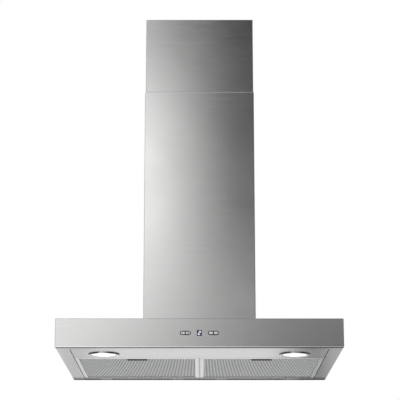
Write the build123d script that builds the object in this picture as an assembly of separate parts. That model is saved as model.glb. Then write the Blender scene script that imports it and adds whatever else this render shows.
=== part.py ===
"""A wall mounted range hood: a flat box canopy under a two-piece telescopic chimney.

Millimetres, +Z up. The origin lies on the wall, in the middle of the hood, level with the
canopy's underside. The wall is the plane y = 0 and the hood's front faces -Y.
"""
from math import cos, radians, sin
import os

from build123d import *

# Canopy: the flat box at the bottom
canopy_width = 598.0
canopy_depth = 500.0
canopy_height = 61.0
canopy_sheet = 1.0
canopy_bend = 1.2
canopy_hem = 3.0
side_flange = 29.0
front_flange = 22.0
rear_flange = 8.0
flange_lip = 12.0
weld_lip = 10.0

# Chimney: two open-backed channels, the upper one sliding inside the lower
chimney_width = 251.0
chimney_depth = 262.0
chimney_split = 632.5
chimney_top = 809.5
chimney_sheet = 0.8
chimney_bend = 1.5
chimney_return = 14.0
chimney_overlap = 292.0
telescope_gap = 0.35
hem_height = 2.0
hem_lean = 0.5

# Fixings to the wall
wall_hole_radius = 4.2
wall_hole_inset = 79.0
wall_hole_apart = 26.0
bracket_hole_radius = 3.2
bracket_hole_across = 140.0
bracket_height = 30.0
bracket_below_top = 14.5
bracket_sheet = 1.5
bracket_arm = 28.0

# General clearances and screws
overrun = 2.0
panel_gap = 1.5
joint_gap = 0.5
slip_gap = 0.3
snug_gap = 0.1
screw_radius = 1.9
screw_head_radius = 3.4
screw_head_height = 2.2
screw_slack = 0.2
screw_reach = 5.0

# Lamp panel and the two round lamps
lamp_panel_depth = 120.5
latch_lip = 5.0
lamp_inset = 96.5
lamp_setback = 94.0
lamp_ring_radius = 33.5
lamp_ring_drop = 2.5
lamp_ring_flat = 3.0
lamp_lens_radius = 24.4
lamp_lens_thickness = 2.5
lamp_lens_drop = 0.8
lamp_barrel_wall = 3.9
lamp_barrel_height = 14.0
lamp_cup_height = 18.0
lamp_cup_wall = 2.0
lamp_cup_lip = 2.0
lamp_module_height = 4.0
lamp_clip_width = 8.0
lamp_clip_sheet = 0.5

# Grease filters and their latches
filter_gap = 3.0
filter_height = 9.0
filter_sheet = 1.0
filter_side_rim = 8.0
filter_front_rim = 15.5
filter_rear_rim = 22.0
filter_notch = 3.5
filter_rear_gap = 16.0
filter_tongue_width = 24.0
filter_tongue_overlap = 6.0
filter_tongue_inset = 50.0
mesh_recess = 0.4
mesh_columns = 14
mesh_rows = 20
mesh_bar = 3.0
mesh_margin = 6.0
latch_cup_width = 43.0
latch_cup_depth = 24.0
latch_cup_wall = 1.2
latch_travel = 5.0
latch_plate = 2.0
latch_catch = 3.0
latch_tongue_width = 16.0
latch_slide_width = 34.0
latch_finger = 2.0
latch_spring_radius = 1.6
latch_spring_wire = 0.4

# Controls in the canopy's front face
key_pitch = 58.2
pill_width = 22.6
pill_height = 8.6
pill_proud = 0.8
pill_rim = 1.0
pill_sleeve = 0.6
pill_depth = 5.0
key_gap = 0.2
key_split = 0.9
key_proud = 1.0
key_flange = 0.5
key_flange_depth = 1.0
key_travel = 1.1
key_stem_radius = 1.5
display_width = 9.9
display_height = 12.3
display_proud = 0.6
display_rim = 0.4
digit_width = 5.2
digit_height = 8.4
digit_stroke = 1.3
digit_proud = 0.1
digit_slant = 10.0
board_setback = 14.0
board_thickness = 1.6
board_width = 112.0
board_height = 32.0
switch_side = 6.0
switch_height = 2.0
tray_depth = 21.0
tray_wall = 1.6
tray_air = 3.0

# Blower: a sheet box on the canopy with a scroll, an impeller and a motor inside
box_side_gap = 13.5
box_depth = 228.0
box_height = 239.0
box_rear = 20.0
box_sheet = 1.0
box_flange = 8.0
scroll_width = 84.0
scroll_wall = 2.5
scroll_radius = 84.0
scroll_growth = 8.0
scroll_axis_depth = 114.0
scroll_axis_height = 165.0
scroll_mouth = 116.0
scroll_rib = 4.0
inlet_radius = 60.0
inlet_lip = 6.0
impeller_radius = 72.0
impeller_length = 66.0
impeller_ring = 2.0
impeller_rim = 15.0
blade_count = 36
blade_thickness = 1.2
blade_chord = 14.0
blade_pitch = 28.0
hub_radius = 12.0
hub_length = 22.0
web_holes = 6
web_hole_radius = 11.0
shaft_radius = 4.0
shaft_slack = 0.05
motor_radius = 44.0
motor_gap = 13.5
motor_boss_radius = 12.0
motor_boss = 3.0
motor_bend = 6.0
motor_band = 14.0
motor_band_proud = 2.0
arm_count = 3
arm_width = 16.0
arm_sheet = 1.5
arm_reach = 70.0

# Outlet collar with its two non-return flaps
collar_radius = 75.0
collar_wall = 2.5
collar_height = 45.0
collar_flange = 9.0
collar_flange_thickness = 2.0
collar_screw_out = 5.2
flap_height = 10.0
flap_thickness = 1.5
flap_gap = 1.0
flap_ledge = 2.0
flap_barrel_radius = 3.2
flap_barrels = 6
flap_clear = 0.4
pin_radius = 1.5
pin_slack = 0.06
pin_seat = 1.5

# Electrics
terminal_width = 110.0
terminal_depth = 52.0
terminal_height = 32.0
terminal_wall = 2.0
terminal_behind = 26.0
gland_side = 35.0
gland_radius = 8.0
gland_bore = 3.6
gland_nut = 6.0
gland_dome = 9.0
driver_width = 96.0
driver_depth = 42.0
driver_height = 22.0
driver_inset = 53.0
driver_setback = 330.0
power_box_depth = 60.0
power_box_height = 24.0
power_box_inset = 49.0
power_box_gap = 10.0
power_box_behind = 4.0
power_box_wall = 1.6
capacitor_radius = 15.0
capacitor_length = 62.0
capacitor_inset = 87.0
capacitor_behind = 130.0
capacitor_bend = 2.0
strap_width = 12.0
strap_thickness = 1.0
lead_radius = 3.0
lead_out = 33.0
lead_behind = 8.0
lead_below_top = 19.0
lead_bend = 14.0
lead_entry_drop = 18.0
grommet_radius = 7.0
grommet_height = 4.0
foot_width = 156.0
foot_depth = 12.0
foot_height = 18.0
foot_sheet = 1.2
foot_screw_inset = 18.0

# Places that follow from the sizes above
half_width = canopy_width / 2
wall_hole_across = canopy_width - 2 * wall_hole_inset
lamp_spread = half_width - lamp_inset
driver_side = half_width - driver_inset - driver_width
capacitor_side = half_width - capacitor_inset - capacitor_length
front_y = -canopy_depth
flange_edge = half_width - side_flange
panel_edge = flange_edge - panel_gap
panel_front = front_y + front_flange + joint_gap
panel_rear = panel_front + lamp_panel_depth
lamp_y = front_y + lamp_setback
lamp_barrel_radius = lamp_lens_radius + screw_slack + lamp_barrel_wall
chimney_half = chimney_width / 2
box_width = chimney_width - 2 * box_side_gap
power_box_side = box_width / 2 + box_flange + power_box_gap
power_box_width = half_width - power_box_inset - power_box_side
upper_inset = chimney_sheet + telescope_gap
upper_bottom = chimney_split - chimney_overlap
filter_front = panel_rear + panel_gap
filter_rear = -rear_flange - filter_rear_gap
filter_inner = filter_gap / 2
filter_outer = panel_edge
filter_middle = (filter_inner + filter_outer) / 2
latch_front = filter_front + filter_front_rim + snug_gap
latch_rear = latch_front + latch_cup_depth
latch_z = latch_lip + slip_gap
latch_roof = latch_z + latch_plate + slip_gap
latch_tip = panel_rear - filter_sheet - latch_catch
latch_slide_rear = latch_rear - latch_cup_wall - latch_travel - joint_gap
key_z = canopy_height / 2
board_y = front_y + board_setback
box_front = -box_rear - box_depth
box_top = canopy_height + box_height
scroll_y = -scroll_axis_depth
scroll_z = scroll_axis_height
scroll_front = scroll_y - scroll_growth - (scroll_radius + 2 * scroll_growth)
scroll_half = scroll_width / 2
collar_y = scroll_front + scroll_mouth / 2
collar_base = box_top
collar_top = collar_base + collar_flange_thickness + collar_height
flap_z = collar_base + collar_flange_thickness + flap_height
motor_start = scroll_half + arm_sheet
motor_length = box_width / 2 - box_sheet - motor_gap - motor_start
lead_side = terminal_width / 2 + lead_out
lead_top_z = box_top + lead_below_top


def block(x_range, y_range, z_range):
    """A box given by its range along each axis."""
    sizes = [high - low for low, high in (x_range, y_range, z_range)]
    middle = [(low + high) / 2 for low, high in (x_range, y_range, z_range)]
    return Pos(*middle) * Box(*sizes)


def both(half):
    """The range from -half to +half."""
    return (-half, half)


def span(start, length):
    """The range that starts at start and is length long."""
    return (start, start + length)


def rod_x(radius, x_range, y, z):
    """A round bar along X."""
    low, high = x_range
    return Pos((low + high) / 2, y, z) * Rot(0, 90, 0) * Cylinder(radius, high - low)


def rod_y(radius, y_range, x, z):
    """A round bar along Y."""
    low, high = y_range
    return Pos(x, (low + high) / 2, z) * Rot(90, 0, 0) * Cylinder(radius, high - low)


def rod_z(radius, z_range, x, y):
    """A round bar along Z."""
    low, high = z_range
    return Pos(x, y, (low + high) / 2) * Cylinder(radius, high - low)


def pill(width, height, y_range, x, z):
    """A bar along Y whose section is a slot with round ends."""
    low, high = y_range
    straight = (width - height) / 2
    body = block((x - straight, x + straight), y_range, (z - height / 2, z + height / 2))
    for end in (x - straight, x + straight):
        body += rod_y(height / 2, (low, high), end, z)
    return body


def together(pieces):
    """Several separate solids as one node."""
    solids = []
    for piece in pieces:
        solids += piece.solids()
    return Compound(children=solids)


def side_range(side, near, far):
    """An X range between two distances from the middle, on the left (-1) or right (+1)."""
    return tuple(sorted((side * near, side * far)))


# Where the screws stand
panel_screw_ys = (panel_front + weld_lip, panel_rear - weld_lip)
box_screw_x = box_width / 2 + box_flange / 2
box_screw_share = 0.4
box_screw_middle = box_front + box_depth / 2
box_screw_reach = box_depth * box_screw_share
box_screw_ys = (box_screw_middle - box_screw_reach, box_screw_middle + box_screw_reach)
collar_screw_radius = collar_radius + collar_screw_out
collar_screw_turns = (45, 135, 225, 315)


def screw_z(x, y, seat, reach=screw_reach):
    """A screw along Z with its head on top of the height seat."""
    head = rod_z(screw_head_radius, span(seat, screw_head_height), x, y)
    rim = head.edges().filter_by(GeomType.CIRCLE).group_by(Axis.Z)[-1]
    return fillet(rim, screw_radius / 2) + rod_z(screw_radius, (seat - reach, seat), x, y)


def screw_x(side, x, y, z, reach=screw_reach):
    """A screw along X with its head's seat at x; side +1 points the shank to +X."""
    head = rod_x(screw_head_radius, sorted((x, x - side * screw_head_height)), y, z)
    return head + rod_x(screw_radius, sorted((x, x + side * reach)), y, z)


def hole_z(x, y, z_range):
    """The clearance hole of a screw along Z."""
    low, high = z_range
    return rod_z(screw_radius + screw_slack, (low - overrun, high + overrun), x, y)


def canopy_shell():
    """Folded sheet: top, front and sides, with flanges turned in along the underside."""
    sheet = canopy_sheet
    shell = block(both(half_width), (front_y, -sheet), (0, canopy_height))
    upright = shell.edges().filter_by(Axis.Z).sort_by(Axis.Y)[:2]
    shell = fillet(upright, canopy_bend)
    rear = -sheet
    top = [edge for edge in shell.edges().group_by(Axis.Z)[-1] if edge.center().Y < rear]
    shell = fillet(top, canopy_bend)
    bottom = [edge for edge in shell.edges().group_by(Axis.Z)[0] if edge.center().Y < rear]
    shell = fillet(bottom, canopy_hem)
    inner = block(
        both(half_width - sheet), (front_y + sheet, overrun), (sheet, canopy_height - sheet)
    )
    inner_bottom = [edge for edge in inner.edges().group_by(Axis.Z)[0] if edge.center().Y < 0]
    shell -= fillet(inner_bottom, canopy_hem - sheet)
    shell -= block(
        both(flange_edge), (front_y + front_flange, -rear_flange), (-overrun, sheet + overrun)
    )
    for side in (-1, 1):
        lip_x = side_range(side, flange_edge, flange_edge + sheet)
        lip = block(lip_x, (front_y + front_flange, -rear_flange), (sheet, flange_lip))
        for y in panel_screw_ys:
            lip -= rod_x(screw_radius + screw_slack, (-half_width, half_width), y, flange_lip / 2)
        shell += lip
    front_lip = (front_y + front_flange - sheet, front_y + front_flange)
    shell += block(both(flange_edge + sheet), front_lip, (sheet, flange_lip))
    shell -= blower_hole() + lead_hole()
    for x in (-key_pitch / 2, key_pitch / 2):
        hole_width = pill_width - 2 * pill_rim + 2 * snug_gap
        hole_height = pill_height - 2 * pill_rim + 2 * snug_gap
        hole_y = (front_y - overrun, front_y + sheet + overrun)
        shell -= pill(hole_width, hole_height, hole_y, x, key_z)
    shell -= display_body(snug_gap, (front_y - overrun, front_y + sheet + overrun))
    for x, y in box_screw_places() + foot_screw_places():
        shell -= hole_z(x, y, (canopy_height - sheet, canopy_height))
    return shell


def blower_hole():
    """The opening in the canopy's top sheet under the blower."""
    hole_x = both(box_width / 2 - box_sheet)
    hole_y = (box_front + box_sheet, -box_rear - box_sheet)
    z_range = (canopy_height - canopy_sheet - overrun, canopy_height + overrun)
    return block(hole_x, hole_y, z_range)


def lead_hole():
    """The grommet's hole in the canopy's top sheet."""
    z_range = (canopy_height - canopy_sheet - overrun, canopy_height + overrun)
    return rod_z(grommet_radius - canopy_sheet, z_range, lead_side, -lead_behind)


def box_screw_places():
    """The four screws that hold the blower box's side flanges."""
    return [(x, y) for x in (-box_screw_x, box_screw_x) for y in box_screw_ys]


def foot_screw_places():
    """The two screws through the chimney's foot, one near each end."""
    y = -chimney_depth + chimney_sheet + foot_sheet + screw_head_radius + joint_gap
    x = foot_width / 2 - foot_screw_inset
    return [(-x, y), (x, y)]


def canopy_back():
    """The rear panel, with lips welded inside the shell's ends and four holes to the wall."""
    sheet = canopy_sheet
    back = block(both(half_width), (-sheet, 0), (0, canopy_height))
    back = fillet(back.edges().filter_by(Axis.Y).group_by(Axis.Z)[0], canopy_hem)
    back = fillet(back.edges().filter_by(Axis.Y).group_by(Axis.Z)[-1], canopy_bend)
    for side in (-1, 1):
        lip_x = side_range(side, half_width - 2 * sheet, half_width - sheet)
        lip_y = (-sheet - weld_lip, -sheet)
        back += block(lip_x, lip_y, (sheet + joint_gap, canopy_height - sheet - joint_gap))
    for x in both(wall_hole_across / 2):
        for z in (key_z - wall_hole_apart / 2, key_z + wall_hole_apart / 2):
            back -= rod_y(wall_hole_radius, (-sheet - overrun, overrun), x, z)
    return back


def lamp_panel():
    """The fixed front strip of the underside, hung on the canopy's lips."""
    sheet = canopy_sheet
    panel = block(both(panel_edge), (panel_front, panel_rear), (0, sheet))
    panel += block(both(panel_edge), span(panel_front, sheet), (sheet, flange_lip - joint_gap))
    panel += block(both(panel_edge), (panel_rear - sheet, panel_rear), (sheet, latch_lip))
    for side in (-1, 1):
        panel += block(
            side_range(side, panel_edge - sheet, panel_edge), (panel_front, panel_rear), (sheet, flange_lip)
        )
        for y in panel_screw_ys:
            tab_x = side_range(side, panel_edge - sheet, flange_edge + sheet + weld_lip / 2)
            tab_y = (y - weld_lip / 2, y + weld_lip / 2)
            panel += block(tab_x, tab_y, span(flange_lip, sheet))
            panel -= rod_x(screw_radius + screw_slack, (-half_width, half_width), y, flange_lip / 2)
        hole_radius = lamp_barrel_radius + screw_slack
        panel -= rod_z(hole_radius, (-overrun, sheet + overrun), side * lamp_spread, lamp_y)
    return panel


def lamp_ring(side):
    """The lamp's bezel: a rounded flange under the panel and a barrel up through it."""
    bore = lamp_lens_radius + screw_slack
    outer = lamp_ring_radius
    with BuildSketch(Plane.XZ) as section:
        with BuildLine():
            Line((bore, lamp_barrel_height), (lamp_barrel_radius, lamp_barrel_height))
            Line((lamp_barrel_radius, lamp_barrel_height), (lamp_barrel_radius, 0))
            Line((lamp_barrel_radius, 0), (outer, 0))
            arc_end = (outer - lamp_ring_drop, -lamp_ring_drop)
            middle = lamp_ring_drop * cos(radians(45))
            arc_middle = (outer - lamp_ring_drop + middle, -middle)
            ThreePointArc((outer, 0), arc_middle, arc_end)
            flat_end = (outer - lamp_ring_drop - lamp_ring_flat, -lamp_ring_drop)
            Line(arc_end, flat_end)
            Line(flat_end, (bore, -lamp_lens_drop))
            Line((bore, -lamp_lens_drop), (bore, lamp_barrel_height))
        make_face()
    return Pos(side * lamp_spread, lamp_y, 0) * revolve(section.sketch, Axis.Z)


def lamp_lens(side):
    """The frosted lens, with its lower edge rounded."""
    z_range = span(-lamp_lens_drop, lamp_lens_thickness)
    lens = rod_z(lamp_lens_radius, z_range, side * lamp_spread, lamp_y)
    return fillet(lens.edges().group_by(Axis.Z)[0], lamp_lens_drop / 2)


def lamp_cup(side):
    """The lamp's metal cup: it stands in the ring's barrel and carries the light source."""
    x, y = side * lamp_spread, lamp_y
    low = lamp_lens_thickness - lamp_lens_drop
    high = lamp_barrel_height + lamp_cup_lip + lamp_cup_height
    inner = lamp_lens_radius - lamp_cup_wall
    cup = rod_z(lamp_lens_radius, (low, lamp_barrel_height), x, y)
    cup += rod_z(lamp_barrel_radius, span(lamp_barrel_height, lamp_cup_lip), x, y)
    cup += rod_z(inner, (lamp_barrel_height, high), x, y)
    cup -= rod_z(inner - lamp_cup_wall, (low - overrun, high - lamp_cup_wall), x, y)
    return cup


def lamp_module(side):
    """The light source: a round board with a raised emitter."""
    inner = lamp_lens_radius - 2 * lamp_cup_wall
    top = lamp_barrel_height + lamp_cup_lip + lamp_cup_height - lamp_cup_wall
    x = side * lamp_spread
    board = rod_z(inner - snug_gap, (top - lamp_cup_wall, top), x, lamp_y)
    return board + rod_z(inner / 2, (top - lamp_module_height, top - lamp_cup_wall), x, lamp_y)


def lamp_clips():
    """Leaf clips, two to a lamp, between the lamp's barrel and the panel's upper face."""
    near = lamp_barrel_radius
    low = canopy_sheet
    clips = []
    for side in (-1, 1):
        x = side * lamp_spread
        clip_x = (x - lamp_clip_width / 2, x + lamp_clip_width / 2)
        barrel = rod_z(near, (0, lamp_barrel_height + overrun), x, lamp_y)
        for way in (-1, 1):
            leg_y = sorted((lamp_y + way * near, lamp_y + way * (near + lamp_clip_sheet)))
            foot_y = sorted((lamp_y + way * near, lamp_y + way * (near + weld_lip)))
            leg = block(clip_x, leg_y, (low, lamp_barrel_height))
            foot = block(clip_x, foot_y, span(low, lamp_clip_sheet))
            clips.append(leg + foot - barrel)
    return together(clips)


def filter_frame(side):
    """A folded aluminium channel round the mesh, with two tongues at the rear."""
    sheet = filter_sheet
    x_range = side_range(side, filter_inner, filter_outer)
    y_range = (filter_front, filter_rear)
    frame = block(x_range, y_range, (0, filter_height))
    inside_x = (x_range[0] + sheet, x_range[1] - sheet)
    inside_y = (filter_front + sheet, filter_rear - sheet)
    frame -= block(inside_x, inside_y, (sheet, filter_height - sheet))
    low_x = (x_range[0] + filter_side_rim, x_range[1] - filter_side_rim)
    low_y = (filter_front + filter_front_rim, filter_rear - filter_rear_rim)
    frame -= block(low_x, low_y, (-overrun, sheet + snug_gap))
    high_y = (filter_front + filter_side_rim, filter_rear - filter_side_rim)
    frame -= block(low_x, high_y, (filter_height - sheet - snug_gap, filter_height + overrun))
    for x in low_x:
        for y in low_y:
            notch_x = (x - filter_notch / 2, x + filter_notch / 2)
            notch_y = (y - filter_notch / 2, y + filter_notch / 2)
            frame -= block(notch_x, notch_y, (-overrun, sheet + snug_gap))
    for x in (x_range[0] + filter_tongue_inset, x_range[1] - filter_tongue_inset):
        tongue_x = (x - filter_tongue_width / 2, x + filter_tongue_width / 2)
        tongue_y = (filter_rear - sheet, -rear_flange + filter_tongue_overlap)
        frame += block(tongue_x, tongue_y, span(canopy_sheet + slip_gap, sheet))
    middle = side * filter_middle
    slot = latch_tongue_width / 2 + slip_gap
    slot_z = (latch_z - slip_gap, latch_roof)
    frame -= block((middle - slot, middle + slot), span(filter_front - overrun, 2 * overrun), slot_z)
    return frame


def filter_mesh(side):
    """The layered expanded mesh, drawn as one thick sheet with staggered openings."""
    x_low, x_high = side_range(side, filter_inner, filter_outer)
    inset = filter_sheet + slip_gap
    x_range = (x_low + inset, x_high - inset)
    y_range = (filter_front + inset, filter_rear - inset)
    z_range = (filter_sheet + mesh_recess, filter_height - filter_sheet - slip_gap)
    mesh = block(x_range, y_range, z_range)
    middle = side * filter_middle
    bay = latch_cup_width / 2 + slip_gap
    through = (z_range[0] - overrun, z_range[1] + overrun)
    mesh -= block((middle - bay, middle + bay), (y_range[0] - overrun, latch_rear + slip_gap), through)
    field_x = (x_low + filter_side_rim + mesh_margin, x_high - filter_side_rim - mesh_margin)
    field_y = (latch_rear + mesh_margin, filter_rear - filter_rear_rim - mesh_margin)
    step_x = (field_x[1] - field_x[0]) / mesh_columns
    step_y = (field_y[1] - field_y[0]) / mesh_rows
    cells = []
    for row in range(mesh_rows):
        for column in range(mesh_columns - row % 2):
            x = field_x[0] + (column + 1 / 2 + row % 2 / 2) * step_x
            y = field_y[0] + (row + 1 / 2) * step_y
            half_x, half_y = step_x - mesh_bar, step_y - mesh_bar / 2
            corners = [(x - half_x / 2, y), (x, y - half_y), (x + half_x / 2, y), (x, y + half_y)]
            cells.append(Pos(0, 0, through[0]) * make_face(Polyline(*corners, close=True)))
    holes = extrude(Sketch() + cells, through[1] - through[0], dir=(0, 0, 1))
    return mesh - holes


def latch_cup(side):
    """The recessed finger pull in the filter's front edge, which guides the latch."""
    middle = side * filter_middle
    half, wall = latch_cup_width / 2, latch_cup_wall
    x_range = (middle - half, middle + half)
    y_range = (latch_front, latch_rear)
    cup = block(x_range, y_range, (0, latch_roof + wall))
    inside_x = (x_range[0] + wall, x_range[1] - wall)
    inside_y = (latch_front + wall, latch_rear - wall)
    cup -= block(inside_x, inside_y, (-overrun, latch_roof))
    slot = latch_tongue_width / 2 + slip_gap
    slot_y = (latch_front - overrun, latch_front + wall + overrun)
    cup -= block((middle - slot, middle + slot), slot_y, (latch_z - slip_gap, latch_roof))
    rail = wall
    for way in (-1, 1):
        near = middle + way * (half - wall)
        rail_x = sorted((near, near - way * (latch_cup_width / 2 - wall - latch_slide_width / 2 + rail)))
        cup += block(rail_x, inside_y, (latch_z - slip_gap - rail, latch_z - slip_gap))
    return cup


def latch_slide(side):
    """The spring latch: a plate in the cup, a tongue over the panel's lip, a finger tab."""
    middle = side * filter_middle
    z_range = span(latch_z, latch_plate)
    body_y = (latch_front + latch_cup_wall + joint_gap, latch_slide_rear)
    half = latch_slide_width / 2
    slide = block((middle - half, middle + half), body_y, z_range)
    tongue = latch_tongue_width / 2
    slide += block((middle - tongue, middle + tongue), (latch_tip, body_y[0] + joint_gap), z_range)
    tab_half = half - 2 * latch_cup_wall
    tab_y = (latch_slide_rear - latch_finger, latch_slide_rear)
    slide += block((middle - tab_half, middle + tab_half), tab_y, (canopy_sheet, latch_z))
    pocket_y = (body_y[0] + latch_finger, latch_slide_rear)
    bore = latch_spring_radius + snug_gap
    boss_x = (middle - tongue / 2, middle + tongue / 2)
    slide += block(boss_x, pocket_y, (latch_z - bore, latch_z + latch_plate))
    pocket_z = (latch_z - 2 * bore, latch_z + bore / 2)
    return slide - block((middle - bore, middle + bore), (pocket_y[0], latch_rear), pocket_z)


def latch_spring(side):
    """The latch's coil, drawn as its outer sleeve at the length it has at full travel."""
    middle = side * filter_middle
    start = latch_front + latch_cup_wall + joint_gap + latch_finger
    z = latch_z + (latch_spring_radius + snug_gap) / 2 - latch_spring_radius
    y_range = (start, latch_slide_rear)
    spring = rod_y(latch_spring_radius, y_range, middle, z)
    return spring - rod_y(latch_spring_radius - latch_spring_wire, (start - overrun, 0), middle, z)


def key_bezel(side):
    """The dark rim of one pair of keys, with a sleeve through the canopy's front."""
    x = side * key_pitch / 2
    sleeve_width, sleeve_height = pill_width - 2 * pill_rim, pill_height - 2 * pill_rim
    bezel = pill(pill_width, pill_height, (front_y - pill_proud, front_y), x, key_z)
    bezel += pill(sleeve_width, sleeve_height, (front_y, front_y + pill_depth), x, key_z)
    bore_width = sleeve_width - 2 * pill_sleeve
    bore_height = sleeve_height - 2 * pill_sleeve
    through = (front_y - pill_proud - overrun, front_y + pill_depth + overrun)
    return bezel - pill(bore_width, bore_height, through, x, key_z)


def key(side, half):
    """One key: half of the pill, a stop flange behind the sleeve and a stem to its switch."""
    x = side * key_pitch / 2
    width = pill_width - 2 * pill_rim - 2 * pill_sleeve - 2 * key_gap
    height = pill_height - 2 * pill_rim - 2 * pill_sleeve - 2 * key_gap
    face = front_y - key_proud
    flange_start = front_y + pill_depth + slip_gap
    body = pill(width, height, (face, flange_start), x, key_z)
    wide = 2 * (pill_sleeve + key_flange)
    body += pill(width + wide, height + wide, span(flange_start, key_flange_depth), x, key_z)
    keep = side_range(half, key_split / 2, pill_width)
    body &= block((x + keep[0], x + keep[1]), (face - overrun, 0), (0, canopy_height))
    outer = body.edges().filter_by(lambda edge: edge.bounding_box().max.Y < face + snug_gap)
    body = chamfer(outer, key_gap)
    stem_y = (flange_start + key_flange_depth, board_y - switch_height - key_travel - slip_gap)
    return body + rod_y(key_stem_radius, stem_y, key_x(side, half), key_z)


def key_x(side, half):
    """The middle of one key."""
    width = pill_width - 2 * pill_rim - 2 * pill_sleeve - 2 * key_gap
    return side * key_pitch / 2 + half * (width + key_split) / 4


def display_body(grow, y_range):
    """A bar along Y with the display window's outline less its rim."""
    half_x = display_width / 2 - display_rim + grow
    half_z = display_height / 2 - display_rim + grow
    return block(both(half_x), y_range, (key_z - half_z, key_z + half_z))


def display_window():
    """The dark window, standing just proud of the canopy's front."""
    half_z = display_height / 2
    z_range = (key_z - half_z, key_z + half_z)
    window = block(both(display_width / 2), (front_y - display_proud, front_y), z_range)
    rim = window.edges().group_by(Axis.Y)[0]
    return chamfer(rim, display_proud / 2)


def display_module():
    """The display behind the window, on the control board."""
    return display_body(-snug_gap, (front_y, board_y))


def display_digit():
    """Five lit bars that form a plain two."""
    half_x, half_z, bar = digit_width / 2, digit_height / 2, digit_stroke / 2
    flat_half, upright_half = half_x - bar, half_z / 2 - bar
    places = [
        (0, half_z - bar, flat_half, bar),
        (half_x - bar, half_z / 2, bar, upright_half),
        (0, 0, flat_half, bar),
        (-half_x + bar, -half_z / 2, bar, upright_half),
        (0, -half_z + bar, flat_half, bar),
    ]
    y_range = (front_y - display_proud - digit_proud, front_y - display_proud)
    lean = sin(radians(digit_slant))
    bars = []
    for x, z, width, height in places:
        x += z * lean
        bars.append(block((x - width, x + width), y_range, (key_z + z - height, key_z + z + height)))
    return together(bars)


def control_board():
    """The circuit board behind the keys, with one switch for each key."""
    z_range = (key_z - board_height / 2, key_z + board_height / 2)
    board = block(both(board_width / 2), span(board_y, board_thickness), z_range)
    half = switch_side / 2
    switch_y = (board_y - switch_height, board_y)
    for side in (-1, 1):
        for part in (-1, 1):
            x = key_x(side, part)
            board += block((x - half, x + half), switch_y, (key_z - half, key_z + half))
    return board


def control_tray():
    """The moulded tray that holds the board against the canopy's front."""
    wall = tray_wall
    half = board_width / 2 + snug_gap + wall
    z_range = (key_z - board_height / 2 - snug_gap - wall, key_z + board_height / 2 + snug_gap + wall)
    front = front_y + canopy_sheet
    back = front_y + tray_depth
    tray = block(both(half), (front, back), z_range)
    inner_z = (z_range[0] + wall, z_range[1] - wall)
    tray -= block(both(half - wall), (front - overrun, back - wall), inner_z)
    behind = board_y + board_thickness
    for x in both(board_width / 2 - tray_air):
        for z in (inner_z[0] + tray_air, inner_z[1] - tray_air):
            tray += rod_y(wall, (behind, back - wall), x, z)
    return tray


def chimney_channel(inset, z_range):
    """An open-backed channel: front, two sides and a return along each rear edge."""
    half, front, rear = chimney_half - inset, -chimney_depth + inset, -inset
    sheet = chimney_sheet
    z_cut = (z_range[0] - overrun, z_range[1] + overrun)
    shell = block(both(half), (front, rear), z_range)
    shell = fillet(shell.edges().filter_by(Axis.Z), chimney_bend)
    hollow = block(both(half - sheet), (front + sheet, rear - sheet), z_cut)
    shell -= fillet(hollow.edges().filter_by(Axis.Z), chimney_bend - sheet)
    gap = half - chimney_return
    return shell - block(both(gap), (rear - sheet - overrun, rear + overrun), z_cut)


def chimney_lower():
    """The lower channel, with the outside of its top edge leaning in to the upper one."""
    shell = chimney_channel(0, (canopy_height, chimney_split))
    low, lean = chimney_split - hem_height, hem_lean
    keep = block(both(chimney_half + overrun), (-chimney_depth - overrun, overrun), (0, low))
    with BuildSketch(Plane.XY.offset(low)) as base:
        with Locations((0, -chimney_depth / 2)):
            RectangleRounded(chimney_width, chimney_depth, chimney_bend)
    with BuildSketch(Plane.XY.offset(chimney_split)) as crown:
        with Locations((0, -chimney_depth / 2)):
            RectangleRounded(chimney_width - 2 * lean, chimney_depth - 2 * lean, chimney_bend - lean)
    taper = loft([base.sketch, crown.sketch], ruled=True)
    return shell & (keep + taper)


def chimney_upper():
    """The upper channel, sliding inside the lower one."""
    return chimney_channel(upper_inset, (upper_bottom, chimney_top))


def chimney_foot():
    """An angle inside the lower channel's front, screwed down to the canopy."""
    front = -chimney_depth + chimney_sheet
    wide = both(foot_width / 2)
    foot = block(wide, span(front, foot_depth), span(canopy_height, foot_sheet))
    foot += block(wide, span(front, foot_sheet), span(canopy_height, foot_height))
    for x, y in foot_screw_places():
        foot -= hole_z(x, y, span(canopy_height, foot_sheet))
    return foot


def upper_bracket():
    """The wall bracket inside the upper chimney: a strip with an arm along each side."""
    sheet = bracket_sheet
    z_high = chimney_top - bracket_below_top
    z_range = (z_high - bracket_height, z_high)
    inner_half = chimney_half - upper_inset - chimney_sheet
    strip_half = inner_half - chimney_return - sheet
    step_y = -upper_inset - chimney_sheet - joint_gap - sheet
    bracket = block(both(strip_half), (-sheet, 0), z_range)
    for side in (-1, 1):
        bracket += block(side_range(side, strip_half - sheet, strip_half), (step_y, 0), z_range)
        arm_end = inner_half - snug_gap
        bracket += block(side_range(side, strip_half - sheet, arm_end), span(step_y, sheet), z_range)
        arm_y = (step_y - bracket_arm, step_y)
        bracket += block(side_range(side, arm_end - sheet, arm_end), arm_y, z_range)
    middle_z = z_high - bracket_height / 2
    for x in both(bracket_hole_across / 2):
        bracket -= rod_y(bracket_hole_radius, (-sheet - overrun, overrun), x, middle_z)
    return bracket


def blower_box():
    """The blower's casing: four walls and a flange on each side, open below."""
    sheet = box_sheet
    y_range = (box_front, -box_rear)
    z_range = (canopy_height, box_top - sheet)
    casing = block(both(box_width / 2), y_range, z_range)
    casing += block(both(box_width / 2 + box_flange), y_range, span(canopy_height, sheet))
    inner_y = (box_front + sheet, -box_rear - sheet)
    casing -= block(both(box_width / 2 - sheet), inner_y, (0, box_top + overrun))
    for x, y in box_screw_places():
        casing -= hole_z(x, y, span(canopy_height, sheet))
    return casing


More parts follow.
